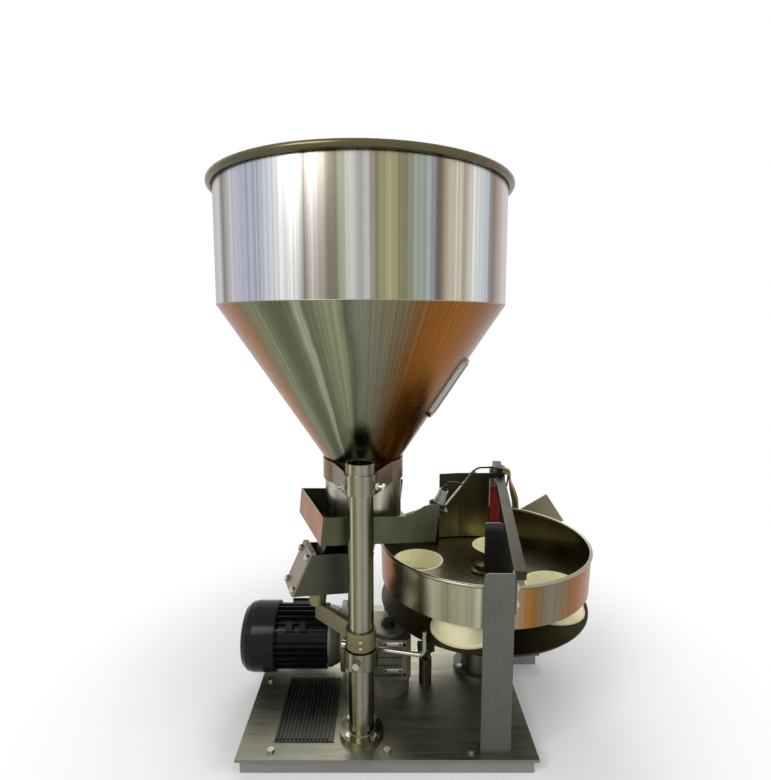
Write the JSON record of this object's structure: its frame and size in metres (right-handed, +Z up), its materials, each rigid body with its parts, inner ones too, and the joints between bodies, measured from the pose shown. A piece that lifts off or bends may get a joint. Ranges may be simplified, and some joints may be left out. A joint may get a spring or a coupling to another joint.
{
  "type": "volumetric cup filler",
  "caption": "Hopper on a post over a vibrating tray that feeds a rotating bowl with telescopic measuring cups, worm drive and level sensor on one deck.",
  "frame": {"origin": "underside of the base frame, straight below the hopper's axis", "axes": "+Z up, +X from the post towards the bowl, +Y from the front post to the rear post"},
  "size_m": [0.8764, 0.687, 1.1675],
  "materials": {
    "frame_steel": "satin",
    "deck_steel": "brushed",
    "zinc": "satin",
    "polished": "polished",
    "satin": "satin",
    "dark_steel": "satin",
    "core_steel": "laminated",
    "copper_coil": "varnished",
    "spring_steel": "satin",
    "yellow_zinc": "yellow zinc",
    "motor_paint": "gloss",
    "black_plastic": "matte",
    "shaft_steel": "ground",
    "gear_aluminium": "cast",
    "pulley_iron": "machined",
    "belt_rubber": "matte",
    "cream_plastic": "satin",
    "black_screw": "black oxide",
    "red_rubber": "matte",
    "amber_plastic": "gloss",
    "cable_black": "satin",
    "wire_green": "satin",
    "tan_sheet": "satin"
  },
  "bodies": {
    "machine": {"base_frame": "frame_steel", "deck_plate": "deck_steel", "ribbed_panel": "deck_steel", "deck_bolts": "zinc", "post": "polished", "hopper_bracket": "satin", "feeder_arm": "satin", "support_collar": "satin", "collar_screws": "zinc", "hopper": "polished", "drive_housing": "dark_steel", "housing_cover": "satin", "cover_screws": "zinc", "magnet_core": "core_steel", "magnet_coil": "copper_coil", "leaf_springs": "spring_steel", "spring_bolts": "yellow_zinc", "motor_housing": "motor_paint", "fan_cover": "motor_paint", "motor_flange": "gear_aluminium", "terminal_box": "motor_paint", "gearbox": "gear_aluminium", "oil_plug": "black_plastic", "drive_belt": "belt_rubber", "bearing_housing": "pulley_iron", "adjuster_base": "satin", "front_post": "satin", "rear_post": "satin", "bridge_beam": "dark_steel", "bridge_bolts": "zinc", "baffle_plate": "dark_steel", "scraper": "satin", "scraper_brush": "black_plastic", "wiper_blade": "red_rubber", "level_sensor": "amber_plastic", "sensor_nuts": "black_plastic", "sensor_bracket": "satin", "sensor_cable": "cable_black", "wire_bundle": "wire_green", "side_shield": "tan_sheet", "cable_ties": "black_plastic"},
    "rotor": {"spindle": "shaft_steel", "bowl": "polished", "bowl_hub": "satin", "upper_cups": "cream_plastic", "driven_pulley": "pulley_iron"},
    "output": {"output_shaft": "shaft_steel", "drive_pulley": "pulley_iron"},
    "motor_rotor": {"motor_shaft": "shaft_steel", "motor_fan": "black_plastic"},
    "tray": {"feeder_tray": "dark_steel", "tray_bracket": "dark_steel", "armature": "dark_steel"},
    "plate": {"bottom_plate": "satin", "discharge_chute": "satin"},
    "cup_sleeves": {"cup_carrier": "dark_steel", "lower_cups": "cream_plastic"},
    "adjuster": {"height_screw": "black_screw"},
    "sleeve": {"outlet_sleeve": "polished"},
    "lever": {"clamp_lever": "satin"}
  },
  "joints": [
    {"name": "bowl_spin", "type": "hinge", "parent": "machine", "child": "rotor", "pos_m": [0.286, 0.076, 0.2], "axis": [0, 0, 1], "continuous": true},
    {"name": "output_turn", "type": "hinge", "parent": "machine", "child": "output", "pos_m": [0.056, 0.012, 0.1], "axis": [0, 0, 1], "continuous": true},
    {"name": "motor_turn", "type": "hinge", "parent": "machine", "child": "motor_rotor", "pos_m": [-0.15, 0.06, 0.128], "axis": [1, 0, 0], "continuous": true},
    {"name": "tray_vibrate", "type": "slide", "parent": "machine", "child": "tray", "axis": [0.9013, 0.3334, -0.2767], "range_m": [-0.001, 0.001], "stiffness_N_per_m": 200000, "deforming": ["leaf_springs"]},
    {"name": "plate_lift", "type": "slide", "parent": "machine", "child": "plate", "axis": [0, 0, 1], "range_m": [-0.015, 0.005]},
    {"name": "cup_lift", "type": "slide", "parent": "rotor", "child": "cup_sleeves", "axis": [0, 0, 1], "range_m": [-0.015, 0.005]},
    {"name": "adjuster_turn", "type": "hinge", "parent": "plate", "child": "adjuster", "pos_m": [0.145, 0.021, 0.12], "axis": [0, 0, 1], "range_deg": [-1800, 601]},
    {"name": "sleeve_slide", "type": "slide", "parent": "machine", "child": "sleeve", "axis": [0, 0, 1], "range_m": [-0.015, 0.012]},
    {"name": "lever_turn", "type": "hinge", "parent": "machine", "child": "lever", "pos_m": [0.00967, -0.1001, 0.197], "axis": [0.9744, -0.225, 0], "range_deg": [0, 90]}
  ],
  "couplings": [
    {"joint": "output_turn", "follows": "bowl_spin", "ratio": 2},
    {"joint": "motor_turn", "follows": "bowl_spin", "ratio": 60},
    {"joint": "cup_lift", "follows": "plate_lift", "ratio": 1},
    {"joint": "adjuster_turn", "follows": "plate_lift", "rad_per_m": 2094.4}
  ]
}
